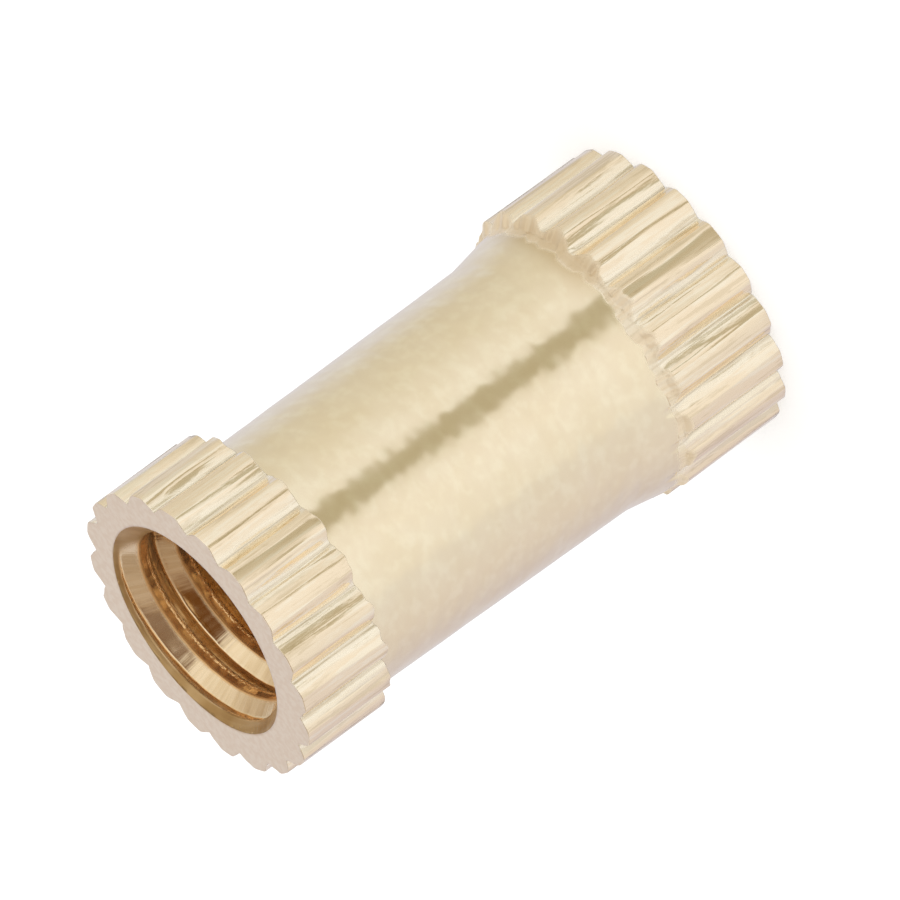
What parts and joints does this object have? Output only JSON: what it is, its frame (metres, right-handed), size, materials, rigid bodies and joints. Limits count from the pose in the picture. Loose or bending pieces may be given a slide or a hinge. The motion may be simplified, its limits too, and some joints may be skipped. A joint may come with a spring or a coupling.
{
  "type": "threaded insert",
  "caption": "Cylindrical brass insert for plastic, with a straight-knurled band at each end, a smooth turned waist between them and a threaded through bore.",
  "frame": {"origin": "middle of the lower end face, on the surface that the insert stands on", "axes": "+Z along the sleeve, from the end with the ramp up to the other end; -Y toward the viewer; the bore lies a little toward +X and the waist a little toward -X"},
  "size_m": [0.0052, 0.0052, 0.01],
  "materials": {
    "brass": "turned and knurled, satin"
  },
  "bodies": {
    "root": {"insert": "brass"}
  },
  "joints": []
}
